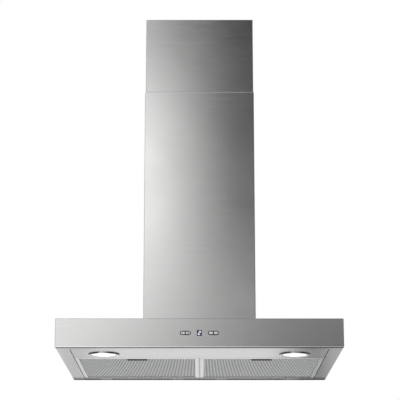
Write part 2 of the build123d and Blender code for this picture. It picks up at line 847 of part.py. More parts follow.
def collar_screw_places():
    """The four screws round the outlet collar's flange."""
    places = []
    for turn in collar_screw_turns:
        angle = radians(turn)
        places.append((collar_screw_radius * cos(angle), collar_y + collar_screw_radius * sin(angle)))
    return places


def blower_top():
    """The casing's lid, with the outlet hole."""
    sheet = box_sheet
    lid = block(both(box_width / 2), (box_front, -box_rear), (box_top - sheet, box_top))
    bore = collar_radius - collar_wall
    lid -= rod_z(bore, (box_top - sheet - overrun, box_top + overrun), 0, collar_y)
    for x, y in collar_screw_places():
        lid -= hole_z(x, y, (box_top - sheet, box_top))
    return lid


def scroll_area(inset):
    """The scroll's outline in its own plane, drawn in by inset: three arcs and the mouth."""
    first = scroll_radius - inset
    second = scroll_radius + scroll_growth - inset
    third = scroll_radius + 2 * scroll_growth - inset
    y, z, step = scroll_y, scroll_z, scroll_growth
    diagonal = cos(radians(45))
    top = (y, z + first)
    rear = (y + first, z)
    bottom = (y - step, z - second)
    front = (y - step - third, z + step)
    top_arc = (y + first * diagonal, z + first * diagonal)
    low_arc = (y - step + second * diagonal, z - second * diagonal)
    front_arc = (y - step - third * diagonal, z + step - third * diagonal)
    outline = [
        ThreePointArc(top, top_arc, rear),
        ThreePointArc(rear, low_arc, bottom),
        ThreePointArc(bottom, front_arc, front),
        Line(front, (front[0], top[1])),
        Line((front[0], top[1]), top),
    ]
    return make_face(outline)


def scroll_solid(inset, x_range, mouth_top):
    """The scroll's outline run along X, with the mouth up to the height mouth_top."""
    plane = Plane(origin=(x_range[0], 0, 0), x_dir=(0, 1, 0), z_dir=(1, 0, 0))
    body = extrude(plane * scroll_area(inset), x_range[1] - x_range[0], dir=(1, 0, 0))
    mouth_y = (scroll_front + inset, scroll_front + scroll_mouth - inset)
    return body + block(x_range, mouth_y, (scroll_z + scroll_growth, mouth_top))


def scroll_half_shell(side):
    """One half of the scroll housing, split at its middle plane."""
    roof = box_top - box_sheet
    shell = scroll_solid(0, side_range(side, 0, scroll_half), roof)
    hollow_x = side_range(side, -overrun, scroll_half - scroll_wall)
    shell -= scroll_solid(scroll_wall, hollow_x, roof + overrun)
    rib = scroll_solid(-scroll_rib, side_range(side, 0, scroll_wall), roof - scroll_rib)
    shell += rib - scroll_solid(0, side_range(side, -overrun, 2 * scroll_wall), roof)
    wall_x = side_range(side, scroll_half - scroll_wall - overrun, scroll_half + inlet_lip + overrun)
    if side > 0:
        return shell - rod_x(motor_boss_radius + joint_gap, wall_x, scroll_y, scroll_z)
    lip_x = side_range(side, scroll_half - snug_gap, scroll_half + inlet_lip)
    shell += rod_x(inlet_radius + scroll_wall, lip_x, scroll_y, scroll_z)
    return shell - rod_x(inlet_radius, wall_x, scroll_y, scroll_z)


def impeller():
    """A drum of forward blades between two rings, carried by a web and a hub."""
    half = impeller_length / 2
    drum = rod_x(impeller_radius, (-half, half), scroll_y, scroll_z)
    inner = impeller_radius - impeller_rim
    drum -= rod_x(inner, (-half - overrun, half + overrun), scroll_y, scroll_z)
    cage = rod_x(impeller_radius + overrun, both(half - impeller_ring), scroll_y, scroll_z)
    rings = drum - cage
    start = (-half + impeller_ring / 2, scroll_y, scroll_z)
    plane = Plane(origin=start, x_dir=(0, 1, 0), z_dir=(1, 0, 0))
    middle = impeller_radius - impeller_rim / 2
    blade = Pos(middle, 0) * Rot(0, 0, blade_pitch) * Rectangle(blade_chord, blade_thickness)
    blades = Sketch()
    for number in range(blade_count):
        blades += Rot(0, 0, 360 * number / blade_count) * blade
    wheel = rings + extrude(plane * blades, impeller_length - impeller_ring, dir=(1, 0, 0))
    web_x = (half - impeller_ring, half)
    wheel += rod_x(inner + overrun, web_x, scroll_y, scroll_z)
    wheel += rod_x(hub_radius, (half - hub_length, half), scroll_y, scroll_z)
    for number in range(web_holes):
        angle = radians(360 * number / web_holes)
        reach = (inner + hub_radius) / 2
        y, z = scroll_y + reach * cos(angle), scroll_z + reach * sin(angle)
        wheel -= rod_x(web_hole_radius, (0, half + overrun), y, z)
    return wheel - rod_x(shaft_radius, (-half, half + overrun), scroll_y, scroll_z)


def motor_shaft():
    """The shaft, from the impeller's hub to the far end of the motor."""
    x_range = (impeller_length / 2 - hub_length, motor_start + motor_length - motor_boss)
    return rod_x(shaft_radius, x_range, scroll_y, scroll_z)


def motor():
    """The motor: a rounded can with a raised band, a boss at the front and its bearing bore."""
    x_range = span(motor_start, motor_length)
    can = rod_x(motor_radius, x_range, scroll_y, scroll_z)
    can = fillet(can.edges().filter_by(GeomType.CIRCLE), motor_bend)
    middle = motor_start + motor_length / 2
    band_x = (middle - motor_band / 2, middle + motor_band / 2)
    can += rod_x(motor_radius + motor_band_proud, band_x, scroll_y, scroll_z)
    boss_x = (motor_start - motor_boss, motor_start + motor_bend)
    can += rod_x(motor_boss_radius, boss_x, scroll_y, scroll_z)
    bore_x = (motor_start - motor_boss - overrun, motor_start + motor_length - motor_boss + slip_gap)
    return can - rod_x(shaft_radius + shaft_slack, bore_x, scroll_y, scroll_z)


def motor_bracket():
    """Three arms from the motor's front face to the scroll's wall."""
    x_range = (scroll_half, motor_start)
    plate = rod_x(motor_radius - motor_bend, x_range, scroll_y, scroll_z)
    for number in range(arm_count):
        angle = 360 * number / arm_count + 90
        arm = block(x_range, (0, arm_reach), both(arm_width / 2))
        plate += Pos(0, scroll_y, scroll_z) * Rot(angle, 0, 0) * arm
    through = (x_range[0] - overrun, x_range[1] + overrun)
    return plate - rod_x(motor_boss_radius + joint_gap, through, scroll_y, scroll_z)


def outlet_collar():
    """The round duct spigot: a flange, a tube, a ledge for the flaps and seats for the pin."""
    base = collar_base
    bore = collar_radius - collar_wall
    collar = rod_z(collar_radius + collar_flange, span(base, collar_flange_thickness), 0, collar_y)
    collar += rod_z(collar_radius, (base, collar_top), 0, collar_y)
    collar -= rod_z(bore, (base - overrun, collar_top + overrun), 0, collar_y)
    ledge_top = flap_z - flap_thickness / 2 - slip_gap
    ledge = rod_z(bore + snug_gap, (ledge_top - flap_ledge, ledge_top), 0, collar_y)
    ledge -= rod_z(bore - flap_ledge, (base, collar_top), 0, collar_y)
    collar += ledge
    for x, y in collar_screw_places():
        collar -= hole_z(x, y, span(base, collar_flange_thickness))
    return collar - rod_x(pin_radius, both(bore + pin_seat), collar_y, flap_z)


def flap_pin():
    """The pin across the collar on which both flaps turn."""
    return rod_x(pin_radius, both(collar_radius - collar_wall + pin_seat), collar_y, flap_z)


def flap(way):
    """Half of the non-return valve: way -1 is the front flap and +1 the rear one."""
    bore = collar_radius - collar_wall
    z_range = (flap_z - flap_thickness / 2, flap_z + flap_thickness / 2)
    plate = rod_z(bore - flap_gap, z_range, 0, collar_y)
    near = flap_barrel_radius + flap_clear
    side = sorted((way * near, way * collar_radius))
    plate &= block(both(collar_radius), (collar_y + side[0], collar_y + side[1]), z_range)
    usable = bore - flap_gap - 2 * near
    step = 2 * usable / flap_barrels
    first = 0 if way < 0 else 1
    web = sorted((0, way * (near + flap_clear)))
    for number in range(first, flap_barrels, 2):
        start = -usable + number * step + flap_clear / 2
        x_range = span(start, step - flap_clear)
        plate += rod_x(flap_barrel_radius, x_range, collar_y, flap_z)
        plate += block(x_range, (collar_y + web[0], collar_y + web[1]), z_range)
    return plate - rod_x(pin_radius + pin_slack, both(collar_radius), collar_y, flap_z)


def terminal_box():
    """The moulded box on the blower's lid where the supply is joined, less its lid."""
    wall = terminal_wall
    x_range = both(terminal_width / 2)
    y_range = (-terminal_behind - terminal_depth, -terminal_behind)
    body = block(x_range, y_range, span(box_top, terminal_height - wall))
    inner_x = both(terminal_width / 2 - wall)
    inner_y = (y_range[0] + wall, y_range[1] - wall)
    body -= block(inner_x, inner_y, span(box_top + wall, terminal_height))
    lead_x = (terminal_width / 2 - wall - overrun, terminal_width / 2 + overrun)
    return body - rod_x(lead_radius, lead_x, terminal_middle_y(), lead_top_z)


def terminal_middle_y():
    """The middle of the terminal box, front to back."""
    return -terminal_behind - terminal_depth / 2


def terminal_lid():
    """The terminal box's flat lid, with its upper edges eased and the gland's hole."""
    wall = terminal_wall
    y_range = (-terminal_behind - terminal_depth, -terminal_behind)
    z_high = box_top + terminal_height
    lid = block(both(terminal_width / 2), y_range, (z_high - wall, z_high))
    lid = chamfer(lid.edges().group_by(Axis.Z)[-1], wall / 2)
    hole = (z_high - wall - overrun, z_high + overrun)
    return lid - rod_z(gland_bore + terminal_wall, hole, -gland_side, terminal_middle_y())


def cable_gland():
    """The supply's inlet: a nut, a domed cap and a sleeve through the terminal box's lid."""
    x, y, seat = -gland_side, terminal_middle_y(), box_top + terminal_height
    nut = Plane.XY.offset(seat) * Pos(x, y) * RegularPolygon(gland_radius, 6)
    gland = extrude(nut, gland_nut)
    dome_z = span(seat + gland_nut, gland_dome)
    dome = rod_z(gland_radius - terminal_wall, dome_z, x, y)
    gland += fillet(dome.edges().filter_by(GeomType.CIRCLE).group_by(Axis.Z)[-1], terminal_wall)
    sleeve_z = (seat - gland_nut, seat)
    gland += rod_z(gland_bore + terminal_wall - snug_gap, sleeve_z, x, y)
    return gland - rod_z(gland_bore, (sleeve_z[0] - overrun, dome_z[1] + overrun), x, y)


def power_box():
    """The power electronics' case, fixed under the canopy's top."""
    wall = power_box_wall
    x_range = span(power_box_side, power_box_width)
    y_range = (-power_box_behind - power_box_depth, -power_box_behind)
    z_high = canopy_height - canopy_sheet
    z_range = (z_high - power_box_height, z_high)
    case = block(x_range, y_range, z_range)
    case = fillet(case.edges().group_by(Axis.Z)[0], wall)
    inner_x = (x_range[0] + wall, x_range[1] - wall)
    inner_y = (y_range[0] + wall, y_range[1] - wall)
    case -= block(inner_x, inner_y, (z_range[0] + wall, z_high - wall))
    entry_x = (x_range[0] - overrun, x_range[0] + wall + overrun)
    return case - rod_x(lead_radius, entry_x, -lead_behind, lead_low_z())


def lead_low_z():
    """The height at which the supply lead enters the power box."""
    return canopy_height - canopy_sheet - lead_entry_drop


def lamp_driver():
    """The lamps' driver: a small case with an ear at each end, under the canopy's top."""
    z_high = canopy_height - canopy_sheet
    x_range = (-driver_side - driver_width, -driver_side)
    y_range = span(-driver_setback, driver_depth)
    case = block(x_range, y_range, (z_high - driver_height, z_high))
    case = fillet(case.edges().filter_by(Axis.Z), canopy_hem)
    ear_x = (x_range[0] - weld_lip, x_range[1] + weld_lip)
    middle = (y_range[0] + y_range[1]) / 2
    return case + block(ear_x, (middle - weld_lip, middle + weld_lip), (z_high - canopy_hem, z_high))


def capacitor():
    """The motor's run capacitor and its strap, under the canopy's top."""
    z_high = canopy_height - canopy_sheet
    z = z_high - strap_thickness - capacitor_radius
    x_range = span(capacitor_side, capacitor_length)
    y = -capacitor_behind
    body = rod_x(capacitor_radius, x_range, y, z)
    body = fillet(body.edges().filter_by(GeomType.CIRCLE), capacitor_bend)
    middle = capacitor_side + capacitor_length / 2
    strap_x = (middle - strap_width / 2, middle + strap_width / 2)
    half = capacitor_radius + strap_thickness
    body += rod_x(half, strap_x, y, z)
    return body + block(strap_x, (y - half, y + half + weld_lip), (z_high - strap_thickness, z_high))


def supply_lead():
    """The sheathed lead from the terminal box down behind the blower to the power box."""
    y, z = terminal_middle_y(), lead_top_z
    low_z = lead_low_z()
    start = terminal_width / 2 - terminal_wall
    route = [
        (start, y, z),
        (lead_side, y, z),
        (lead_side, -lead_behind, z),
        (lead_side, -lead_behind, low_z),
        (power_box_side + power_box_wall, -lead_behind, low_z),
    ]
    path = FilletPolyline(*route, radius=lead_bend)
    section = Plane(origin=route[0], z_dir=(1, 0, 0)) * Circle(lead_radius)
    return sweep(section, path=path)


def lead_grommet():
    """The rubber grommet round the lead in the canopy's top."""
    x, y = lead_side, -lead_behind
    low = canopy_height - canopy_sheet
    flange = (canopy_height, canopy_height + grommet_height / 2)
    ring = rod_z(grommet_radius, flange, x, y)
    ring += rod_z(grommet_radius - canopy_sheet, (low - grommet_height / 2, flange[0]), x, y)
    return ring - rod_z(lead_radius, (0, box_top), x, y)


def panel_screws():
    """Four screws that hold the lamp panel's ends to the canopy's lips."""
    screws = []
    for side in (-1, 1):
        for y in panel_screw_ys:
            screws.append(screw_x(side, side * (panel_edge - canopy_sheet), y, flange_lip / 2))
    return together(screws)


def blower_screws():
    """The screws that hold the blower box and the chimney's foot to the canopy."""
    seat = canopy_height + box_sheet
    screws = [screw_z(x, y, seat) for x, y in box_screw_places()]
    foot_seat = canopy_height + foot_sheet
    screws += [screw_z(x, y, foot_seat) for x, y in foot_screw_places()]
    return together(screws)


def collar_screws():
    """Four screws through the collar's flange and the lid."""
    seat = collar_base + collar_flange_thickness
    return together([screw_z(x, y, seat) for x, y in collar_screw_places()])


nodes = {
    "canopy_shell": canopy_shell(),
    "canopy_back": canopy_back(),
    "lamp_panel": lamp_panel(),
    "display_window": display_window(),
    "display_module": display_module(),
    "display_digit": display_digit(),
    "control_board": control_board(),
    "control_tray": control_tray(),
    "chimney_lower": chimney_lower(),
    "chimney_foot": chimney_foot(),
    "chimney_upper": chimney_upper(),
    "upper_bracket": upper_bracket(),
    "blower_box": blower_box(),
    "blower_lid": blower_top(),
    "scroll_left": scroll_half_shell(-1),
    "scroll_right": scroll_half_shell(1),
    "impeller": impeller(),
    "motor_shaft": motor_shaft(),
    "motor": motor(),
    "motor_bracket": motor_bracket(),
    "outlet_collar": outlet_collar(),
    "flap_pin": flap_pin(),
    "flap_front": flap(-1),
    "flap_rear": flap(1),
    "terminal_box": terminal_box(),
    "terminal_lid": terminal_lid(),
    "cable_gland": cable_gland(),
    "power_box": power_box(),
    "lamp_driver": lamp_driver(),
    "capacitor": capacitor(),
    "supply_lead": supply_lead(),
    "lead_grommet": lead_grommet(),
    "panel_screws": panel_screws(),
    "blower_screws": blower_screws(),
    "collar_screws": collar_screws(),
    "lamp_clips": lamp_clips(),
}
for side, name in ((-1, "left"), (1, "right")):
    nodes["lamp_ring_" + name] = lamp_ring(side)
    nodes["lamp_lens_" + name] = lamp_lens(side)
    nodes["lamp_cup_" + name] = lamp_cup(side)
    nodes["lamp_module_" + name] = lamp_module(side)
    nodes["filter_frame_" + name] = filter_frame(side)
    nodes["filter_mesh_" + name] = filter_mesh(side)
    nodes["latch_cup_" + name] = latch_cup(side)
    nodes["latch_slide_" + name] = latch_slide(side)
    nodes["latch_spring_" + name] = latch_spring(side)
    nodes["key_bezel_" + name] = key_bezel(side)
    for half, place in ((-1, "outer" if side < 0 else "inner"), (1, "inner" if side < 0 else "outer")):
        nodes["key_" + name + "_" + place] = key(side, half)

os.makedirs("parts", exist_ok=True)
for name, shape in nodes.items():
    shape.label = name
    export_step(shape, "parts/" + name + ".step")
    print(name)
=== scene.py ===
"""A wall mounted range hood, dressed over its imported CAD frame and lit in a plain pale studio."""
from itertools import product
import math

import bpy
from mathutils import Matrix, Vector


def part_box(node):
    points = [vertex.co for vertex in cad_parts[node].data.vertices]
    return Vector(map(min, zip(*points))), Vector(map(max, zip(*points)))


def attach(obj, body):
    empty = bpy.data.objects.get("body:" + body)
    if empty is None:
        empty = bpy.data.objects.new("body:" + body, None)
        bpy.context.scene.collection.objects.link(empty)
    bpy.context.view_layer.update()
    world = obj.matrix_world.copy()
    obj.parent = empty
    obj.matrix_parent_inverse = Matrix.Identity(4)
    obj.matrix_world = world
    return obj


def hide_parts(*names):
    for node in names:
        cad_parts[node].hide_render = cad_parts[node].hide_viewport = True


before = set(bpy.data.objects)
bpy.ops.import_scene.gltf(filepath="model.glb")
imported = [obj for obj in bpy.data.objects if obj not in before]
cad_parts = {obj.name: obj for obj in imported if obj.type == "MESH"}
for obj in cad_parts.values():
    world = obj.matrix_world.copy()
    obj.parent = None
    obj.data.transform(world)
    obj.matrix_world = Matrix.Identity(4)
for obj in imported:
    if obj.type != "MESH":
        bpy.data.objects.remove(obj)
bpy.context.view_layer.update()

MM = 0.001
SIDES = ("left", "right")


class Maker:
    """Builds one material's node tree; every method but set returns output sockets."""

    def __init__(self, name):
        self.material = bpy.data.materials.new(name)
        self.material.use_nodes = True
        self.tree = self.material.node_tree
        self.shader = self.tree.nodes["Principled BSDF"]
        self.position = self.node("ShaderNodeTexCoord").outputs["Object"]
        self.normal = self.node("ShaderNodeNewGeometry").outputs["Normal"]

    def node(self, kind, **settings):
        made = self.tree.nodes.new(kind)
        for key, value in settings.items():
            setattr(made, key, value)
        return made

    def feed(self, socket, value):
        """Links value to the socket if it is a socket itself, and writes it there otherwise."""
        if isinstance(value, bpy.types.NodeSocket):
            self.tree.links.new(value, socket)
        else:
            socket.default_value = value

    def math(self, operation, *values):
        made = self.node("ShaderNodeMath", operation=operation)
        for socket, value in zip(made.inputs, values):
            self.feed(socket, value)
        return made.outputs[0]

    def times(self, first, *others):
        """The product of all values."""
        for other in others:
            first = self.math("MULTIPLY", first, other)
        return first

    def away(self, value, center):
        """The distance of a number from another."""
        return self.math("ABSOLUTE", self.math("SUBTRACT", value, center))

    def length(self, first, second):
        """The length of a vector with two parts."""
        squares = [self.math("POWER", part, 2.0) for part in (first, second)]
        return self.math("SQRT", self.math("ADD", *squares))

    def split(self, vector):
        made = self.node("ShaderNodeSeparateXYZ")
        self.feed(made.inputs[0], vector)
        return made.outputs

    def scaled(self, scale):
        """The position with each axis in its own scale, or all in one."""
        made = self.node("ShaderNodeVectorMath", operation="MULTIPLY")
        self.feed(made.inputs[0], self.position)
        made.inputs[1].default_value = scale if isinstance(scale, tuple) else (scale, scale, scale)
        return made.outputs[0]

    def noise(self, scale, detail=3.0, rough=0.5):
        """Noise from about 0.3 to 0.7; scale is features per metre, for each axis or for all."""
        made = self.node("ShaderNodeTexNoise")
        self.feed(made.inputs["Vector"], self.scaled(scale))
        made.inputs["Scale"].default_value = 1.0
        made.inputs["Detail"].default_value = detail
        made.inputs["Roughness"].default_value = rough
        return made.outputs["Fac"]

    def cells(self, scale, feature="F1", output="Distance"):
        made = self.node("ShaderNodeTexVoronoi", feature=feature)
        self.feed(made.inputs["Vector"], self.scaled(scale))
        made.inputs["Scale"].default_value = 1.0
        return made.outputs[output]

    def spread(self, value, low, high, start=0.3, end=0.7):
        """Maps value from start..end to low..high, clamped."""
        made = self.node("ShaderNodeMapRange")
        self.feed(made.inputs["Value"], value)
        made.inputs["From Min"].default_value = start
        made.inputs["From Max"].default_value = end
        made.inputs["To Min"].default_value = low
        made.inputs["To Max"].default_value = high
        return made.outputs[0]

    def around(self, value, middle, swing):
        """Maps noise to middle, give or take swing."""
        return self.spread(value, middle - swing, middle + swing)

    def mix(self, factor, first, second, kind="RGBA"):
        made = self.node("ShaderNodeMix", data_type=kind)
        place = {"FLOAT": 2, "VECTOR": 4, "RGBA": 6}[kind]
        self.feed(made.inputs[0], factor)
        self.feed(made.inputs[place], first)
        self.feed(made.inputs[place + 1], second)
        return made.outputs[{"FLOAT": 0, "VECTOR": 1, "RGBA": 2}[kind]]

    def tones(self, value, color, amount):
        """A colour that varies by amount either way with value."""
        dark = [channel * (1 - amount) for channel in color[:3]] + [1.0]
        light = [min(1.0, channel * (1 + amount)) for channel in color[:3]] + [1.0]
        return self.mix(self.spread(value, 0.0, 1.0), dark, light)

    def ramp(self, value, stops):
        """Grey levels along value, from (place, level) stops with places from 0 to 1."""
        made = self.node("ShaderNodeValToRGB")
        made.color_ramp.interpolation = "EASE"
        while len(made.color_ramp.elements) < len(stops):
            made.color_ramp.elements.new(0.5)
        for element, (place, level) in zip(made.color_ramp.elements, stops):
            element.position = place
            element.color = rgba(level)
        self.feed(made.inputs[0], value)
        return self.split(made.outputs[0])[0]

    def bump(self, height, strength, distance=0.1 * MM):
        made = self.node("ShaderNodeBump")
        made.inputs["Strength"].default_value = strength
        made.inputs["Distance"].default_value = distance
        self.feed(made.inputs["Height"], height)
        return made.outputs[0]

    def set(self, **inputs):
        """Feeds the shader's sockets by name and returns the material."""
        for key, value in inputs.items():
            self.feed(self.shader.inputs[key.replace("_", " ")], value)
        return self.material


def rgba(red, green=None, blue=None):
    """A colour, or a grey from one number."""
    return (red, red if green is None else green, red if blue is None else blue, 1.0)


# Base colours of painted shade and of painted highlights on steel edges, and the specular tints
# that paint shade into a glancing view
SHADE_DARK = rgba(0.06)
FRONT_HIGHLIGHT = rgba(0.78)
LIP_HIGHLIGHT = rgba(0.68)
CLEAR_TINT = rgba(1.0)
BEND_SHADE_TINT = rgba(0.25)
FOLD_SHADE_TINT = rgba(0.08)
RIM_SHADE_TINT = rgba(0.42)


def with_painted_highlight(m, highlight_share, tones, bright):
    """Tones with a painted highlight by the given share, on faces that look to the front."""
    facing = m.spread(m.split(m.normal)[1], 1.0, 0.0, start=-0.95, end=-0.60)
    return m.mix(m.times(highlight_share, facing), tones, bright)


def brushed(name, color, roughness, anisotropy, folds=None, lip=None, streaks=0.07):
    """Brushed stainless sheet: the grain runs level, along X or along Y on the ends.

    Bends carry painted shade, most on the right, and so do faces that look to the front and up.
    folds is the front of a box whose lower folds carry painted shade there and at the rear,
    under a painted highlight along the front edge. lip is the height of a painted highlight
    along an upper edge, above which the edge carries painted shade.
    """
    m = Maker(name)
    x_turn, y_turn, z_turn = m.split(m.normal)
    sideways = m.math("GREATER_THAN", m.math("ABSOLUTE", x_turn), 0.7)
    fine = m.mix(sideways, m.noise((40, 5200, 5200), 2.0), m.noise((5200, 40, 5200), 2.0), "FLOAT")
    coarse = m.mix(sideways, m.noise((12, 1700, 1700)), m.noise((1700, 12, 1700)), "FLOAT")
    grain = m.mix(sideways, (1, 0, 0), (0, 1, 0), "VECTOR")
    across = m.node("ShaderNodeVectorMath", operation="CROSS_PRODUCT")
    m.feed(across.inputs[0], m.normal)
    m.feed(across.inputs[1], grain)
    both = m.math("ADD", m.times(fine, 0.5), m.times(coarse, 0.5))
    smudge = m.noise(9, 4.0, 0.6)
    rough = m.math("ADD", m.around(both, roughness, 0.03), m.spread(smudge, -0.012, 0.018))

    # Painted shade: bends, most on the right, and faces that look to the front and up get a dark
    # base colour and a dark specular tint
    bend = m.math("ABSOLUTE", m.times(x_turn, y_turn))
    upright = m.spread(bend, 0.0, 0.85, start=0.03, end=0.25)
    shade_mask = m.times(upright, m.spread(x_turn, 0.3, 1.0, start=-0.1, end=0.1))
    crest = m.times(y_turn, m.math("MAXIMUM", z_turn, 0.0))
    shade_mask = m.math("MAXIMUM", shade_mask, m.spread(crest, 0.55, 0.0, start=-0.30, end=-0.03))
    height = m.split(m.position)[2]
    # Painted shade on the edge above the lip height
    if lip:
        shade_mask = m.math("MAXIMUM", shade_mask, m.math("GREATER_THAN", height, lip))
    tint = m.mix(shade_mask, CLEAR_TINT, BEND_SHADE_TINT)
    tones = m.tones(both, color, streaks)
    # Painted shade on the lower folds at the front and rear, and a painted highlight along the
    # bottom of the front edge
    if folds is not None:
        y = m.split(m.position)[1]
        inward = m.math("MINIMUM", m.math("SUBTRACT", y, folds), m.times(y, -1.0))
        near = m.spread(inward, 1.0, 0.0, start=5.0 * MM, end=9.0 * MM)
        rear = m.spread(y, 0.0, 0.75, start=-60.0 * MM, end=-20.0 * MM)
        down = m.spread(z_turn, 1.0, 0.0, start=-0.80, end=-0.50)
        tint = m.mix(m.times(down, m.math("MAXIMUM", near, rear)), tint, FOLD_SHADE_TINT)
        shade_mask = m.math("MAXIMUM", shade_mask, m.times(down, near))
        highlight_share = m.spread(height, 1.0, 0.0, start=1.8 * MM, end=3.0 * MM)
        tones = with_painted_highlight(m, highlight_share, tones, FRONT_HIGHLIGHT)
    # Painted highlight along the upper edge, just under the lip height
    if lip:
        highlight_share = m.spread(height, 0.0, 1.0, start=lip - 2.6 * MM, end=lip - 1.8 * MM)
        tones = with_painted_highlight(m, highlight_share, tones, LIP_HIGHLIGHT)
    return m.set(
        Base_Color=m.mix(shade_mask, tones, SHADE_DARK),
        Specular_Tint=tint,
        Metallic=1.0,
        Roughness=rough,
        Anisotropic=anisotropy,
        Tangent=across.outputs[0],
        Normal=m.bump(both, 0.05, 0.02 * MM),
    )


def galvanised(name, dark, light):
    """Galvanised sheet: a spangle of grey crystals with fine rolling marks."""
    m = Maker(name)
    tone = m.split(m.cells(90, output="Color"))[0]
    marks = m.noise((18, 900, 900), 2.0)
    crystal_rough = m.spread(tone, 0.30, 0.44, start=0.0, end=1.0)
    return m.set(
        Base_Color=m.mix(m.spread(tone, 0.0, 1.0, start=0.0, end=1.0), dark, light),
        Metallic=1.0,
        Roughness=m.math("ADD", crystal_rough, m.spread(marks, -0.03, 0.03)),
        Normal=m.bump(m.math("ADD", tone, marks), 0.08),
    )


def metal(name, color, roughness, marks, spread=0.06, strength=0.06, metallic=1.0, rear=None):
    """Plain metal with marks of the given scale per metre.

    rear is the place of a rear edge; over the last 40 to 52 mm before it a dark specular tint
    paints shade into a glancing view.
    """
    m = Maker(name)
    grain = m.noise(marks)
    smudge = m.noise(30)
    # Painted shade towards the rear edge
    if rear:
        y = m.split(m.position)[1]
        shade_mask = m.spread(y, 0.0, 1.0, start=rear - 52.0 * MM, end=rear - 40.0 * MM)
        m.set(Specular_Tint=m.mix(shade_mask, CLEAR_TINT, RIM_SHADE_TINT))
    return m.set(
        Base_Color=m.tones(grain, color, spread),
        Metallic=metallic,
        Roughness=m.math("ADD", m.around(grain, roughness, 0.05), m.spread(smudge, -0.03, 0.03)),
        Normal=m.bump(grain, strength, 0.05 * MM),
    )


def strand_metal(name, color, roughness, pitch):
    """Aluminium strands, with painted highlights as light and dark stripes along their columns of
    knuckles.
    """
    m = Maker(name)
    wave = m.math("SINE", m.times(m.split(m.position)[0], 2 * math.pi / pitch))
    # Painted highlight: light and dark stripes, one of each a column
    column_highlight = m.spread(wave, -1.0, 1.0, start=-0.5, end=0.5)
    grain = m.noise(400)
    level = m.math("ADD", m.times(column_highlight, 0.85), m.around(grain, 1.0, 0.06))
    bright = m.node("ShaderNodeVectorMath", operation="SCALE")
    bright.inputs[0].default_value = color[:3]
    m.feed(bright.inputs["Scale"], level)
    return m.set(
        Base_Color=bright.outputs[0],
        Metallic=1.0,
        Roughness=m.around(grain, roughness, 0.05),
        Normal=m.bump(grain, 0.08, 0.05 * MM),
    )


def plastic(name, color, roughness=0.5, grain=1800, strength=0.15, specular=0.5, spread=0.08):
    """Moulded plastic with a fine spark texture and slow changes of tone."""
    m = Maker(name)
    spark = m.noise(grain, 2.0)
    tone = m.math("ADD", m.times(spark, 0.5), m.times(m.noise(14), 0.5))
    return m.set(
        Base_Color=m.tones(tone, color, spread),
        Roughness=m.around(tone, roughness, 0.06),
        Specular_IOR_Level=specular,
        Normal=m.bump(spark, strength, 0.05 * MM),
    )


def ring_nickel(name, center, shade_reach):
    """Satin nickel turned on a lathe, with two dark arcs of painted reflection on the front of its
    outer wall, painted shade over the rest of that front, and a dark patch of painted shade at each
    end just outside the lens.
    """
    turning_pitch = 0.35 * MM
    dark_arc_top = -1.8 * MM
    shade_half_width, shade_half_length, shade_forward = 1.3 * MM, 5.0 * MM, 7.0 * MM
    m = Maker(name)
    x, y, z = m.split(m.position)
    x_turn, y_turn, z_turn = m.split(m.normal)
    out_x = m.math("SUBTRACT", x, center.x)
    out_y = m.math("SUBTRACT", y, center.y)
    rings = m.math("SINE", m.times(m.length(out_x, out_y), 2 * math.pi / turning_pitch))
    smudge = m.noise(60)
    wall = m.spread(z_turn, 0.0, 1.0, start=-0.95, end=-0.75)
    sideways = m.spread(m.math("ABSOLUTE", x_turn), 0.0, 1.0, start=0.20, end=0.32)
    outside = m.math("GREATER_THAN", m.times(y_turn, out_y), 0.0)
    # Painted reflection: dark arcs on the front of the outer wall, to each side
    dark_arc = m.times(wall, sideways, outside, m.math("GREATER_THAN", z, dark_arc_top))
    # Painted shade: a dark patch at each end, just outside the lens
    across = m.away(m.math("ABSOLUTE", out_x), shade_reach)
    along = m.math("ABSOLUTE", m.math("ADD", out_y, shade_forward))
    slot_shade = m.times(
        m.math("LESS_THAN", across, shade_half_width), m.math("LESS_THAN", along, shade_half_length)
    )
    nickel = m.tones(smudge, rgba(0.72, 0.72, 0.71), 0.05)
    # Painted shade over the front of the outer wall
    shaded = m.mix(m.times(wall, outside), nickel, rgba(0.42))
    return m.set(
        Base_Color=m.mix(m.math("MAXIMUM", dark_arc, slot_shade), shaded, rgba(0.03)),
        Metallic=1.0,
        Roughness=m.math("ADD", m.spread(smudge, 0.17, 0.24), m.times(rings, 0.02)),
        Normal=m.bump(rings, 0.04, 0.01 * MM),
    )


def lens(name, center, radius):
    """Frosted diffuser, lit from behind and a little dimmer at its rim."""
    m = Maker(name)
    x, y = list(m.split(m.position))[:2]
    reach = m.length(m.math("SUBTRACT", x, center.x), m.math("SUBTRACT", y, center.y))
    frost = m.noise(3000, 2.0)
    falloff = m.spread(reach, 1.0, 0.45, start=radius * 0.65, end=radius)
    glow = m.times(falloff, m.around(frost, 1.0, 0.03))
    return m.set(
        Base_Color=rgba(0.93, 0.93, 0.92),
        Roughness=m.spread(frost, 0.35, 0.5),
        Emission_Color=m.mix(glow, rgba(0.62, 0.62, 0.60), rgba(1.0, 1.0, 0.985)),
        Emission_Strength=1.05,
        Normal=m.bump(frost, 0.1, 0.03 * MM),
    )


def display(name, low, high):
    """Dark tinted acrylic: a deep indigo that is bluer towards its middle."""
    m = Maker(name)
    haze = m.noise(60)
    x, _, z = m.split(m.position)
    reach = m.length(x, m.math("SUBTRACT", z, (low.z + high.z) / 2))
    near = m.spread(reach, 1.0, 0.0, start=0.0, end=(high.z - low.z) / 2)
    return m.set(
        Base_Color=m.tones(haze, rgba(0.012, 0.010, 0.03), 0.15),
        Roughness=m.spread(haze, 0.08, 0.14),
        Specular_IOR_Level=0.12,
        Emission_Color=m.mix(near, rgba(0.004, 0.003, 0.012), rgba(0.02, 0.016, 0.06)),
        Emission_Strength=0.6,
    )


